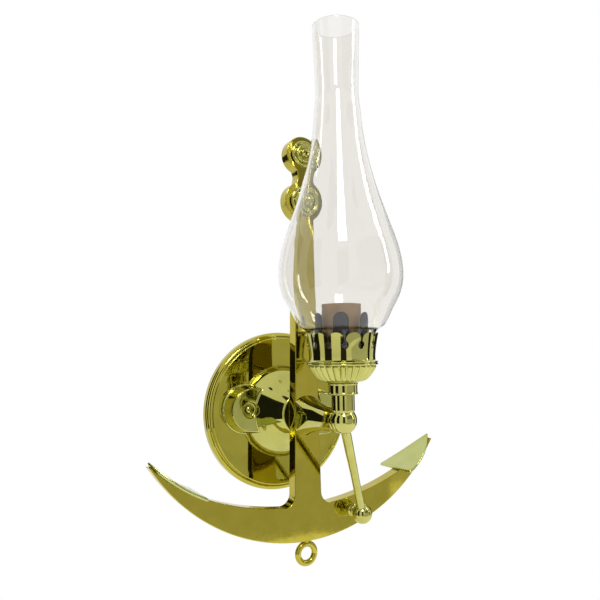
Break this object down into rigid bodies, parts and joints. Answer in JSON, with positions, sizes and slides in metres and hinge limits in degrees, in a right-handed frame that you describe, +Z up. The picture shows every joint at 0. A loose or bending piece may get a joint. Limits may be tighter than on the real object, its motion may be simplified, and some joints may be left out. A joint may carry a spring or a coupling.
{
  "type": "wall sconce",
  "caption": "Brass anchor-shaped wall sconce: domed round plate, curved arm with palms, and an oil-lamp burner with a tall lift-off glass chimney over an electric lampholder.",
  "frame": {"origin": "centre of the back plate on the wall", "axes": "+Y into the wall, -Y forward into the room, +Z up along the chimney, +X to the right seen from the room"},
  "size_m": [0.2686, 0.1634, 0.4384],
  "materials": {
    "brass": "polished cast and turned brass, olive gold",
    "pale_brass": "polished brass, paler",
    "zinc_steel": "zinc-plated",
    "dark_spring": "dark slate",
    "clear_glass": "clear, blown",
    "brown_sleeve": "satin",
    "holder_ceramic": "unglazed",
    "block_plastic": "satin",
    "lead_brown": "satin",
    "lead_blue": "satin",
    "lead_green": "satin"
  },
  "bodies": {
    "sconce": {"wall_strap": "zinc_steel", "earth_screw": "brass", "back_plate": "brass", "wall_boss": "pale_brass", "boss_screws": "pale_brass", "terminal_block": "block_plastic", "terminal_screws": "brass", "boss_nipple": "zinc_steel", "boss_washer": "zinc_steel", "boss_locknut": "zinc_steel", "anchor": "brass", "left_palm": "pale_brass", "right_palm": "pale_brass", "crown_ring": "brass", "top_rosette": "brass", "low_rosette": "brass", "trumpet_arm": "pale_brass", "elbow": "pale_brass", "elbow_nipple": "zinc_steel", "stay_rod": "pale_brass", "stay_ball": "brass", "socket_nipple": "zinc_steel", "collar": "pale_brass", "burner_cup": "brass", "cup_locknut": "zinc_steel", "gallery": "pale_brass", "spring_fingers": "dark_spring", "lampholder_sleeve": "brown_sleeve", "lampholder_body": "holder_ceramic", "lampholder_shell": "brass", "lampholder_contact": "brass", "holder_terminals": "brass", "lead_live": "lead_brown", "lead_neutral": "lead_blue", "lead_earth": "lead_green"},
    "glass": {"chimney": "clear_glass"}
  },
  "joints": [
    {"name": "chimney_lift", "type": "slide", "parent": "sconce", "child": "glass", "axis": [0, 0, 1], "range_m": [0, 0.045]}
  ]
}
